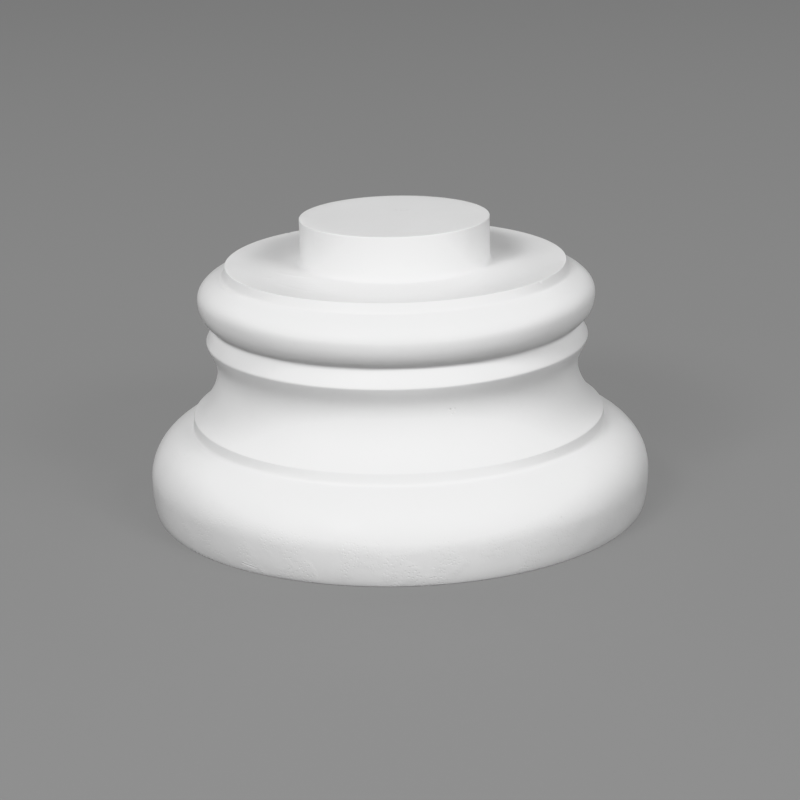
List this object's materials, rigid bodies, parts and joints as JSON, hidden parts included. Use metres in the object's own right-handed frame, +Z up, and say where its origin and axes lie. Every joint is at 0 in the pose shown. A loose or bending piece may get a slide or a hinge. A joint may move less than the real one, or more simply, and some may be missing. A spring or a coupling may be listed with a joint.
{
  "type": "column base",
  "caption": "Round moulded column base in white: two torus mouldings with a scotia and bands between them, a flat ledge for the shaft and a central locating spigot on top.",
  "frame": {"origin": "middle of the flat underside, at floor level", "axes": "+Z up along the column's axis, out of the spigot; round about Z, so +X and +Y are free choices"},
  "size_m": [0.3572, 0.357, 0.207],
  "materials": {
    "white_moulding": "white primer on a rigid moulded foam, satin, with a few pinholes and faint sanding marks"
  },
  "bodies": {
    "root": {"column_base": "white_moulding"}
  },
  "joints": []
}
